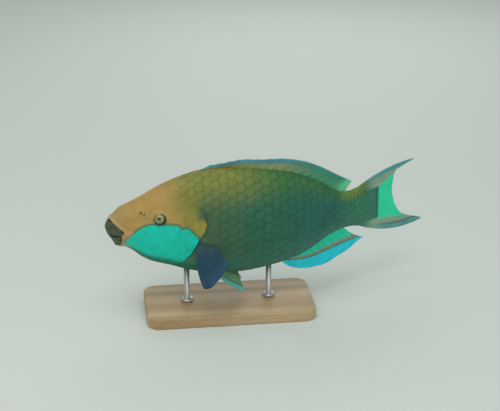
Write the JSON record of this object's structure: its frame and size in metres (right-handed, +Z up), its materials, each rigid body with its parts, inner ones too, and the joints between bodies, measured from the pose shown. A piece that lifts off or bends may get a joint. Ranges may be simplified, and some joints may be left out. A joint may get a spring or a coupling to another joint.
{
  "type": "parrotfish",
  "caption": "Life-size still model of a full-grown male parrotfish, swimming with its tail swung aside, held by two short rods on a flat display base.",
  "frame": {"origin": "centre of the stand base's underside", "axes": "+X from the head towards the tail, +Y to the fish's right, +Z up"},
  "size_m": [0.4731, 0.1805, 0.2235],
  "materials": {
    "head_skin": "moist skin",
    "cheek_skin": "moist skin",
    "body_skin": "moist scales",
    "lip_skin": "moist skin",
    "beak": "tooth plate with algae",
    "eye": "polished",
    "median_fin": "moist membrane",
    "pectoral_fin": "moist membrane",
    "pelvic_fin": "moist membrane",
    "stand_wood": "satin",
    "stand_metal": "satin"
  },
  "bodies": {
    "root": {"head": "head_skin", "lower_jaw": "head_skin", "gill_cover_left": "cheek_skin", "gill_cover_right": "cheek_skin", "upper_lip": "lip_skin", "lower_lip": "lip_skin", "upper_beak": "beak", "lower_beak": "beak", "eye_left": "eye", "eye_right": "eye", "trunk": "body_skin", "tail_stalk": "body_skin", "dorsal_fin": "median_fin", "anal_fin": "median_fin", "tail_fin": "median_fin", "pectoral_fin_left": "pectoral_fin", "pectoral_fin_right": "pectoral_fin", "pelvic_fin_left": "pelvic_fin", "pelvic_fin_right": "pelvic_fin", "stand_base": "stand_wood", "stand_rod_front": "stand_metal", "stand_rod_rear": "stand_metal"}
  },
  "joints": []
}
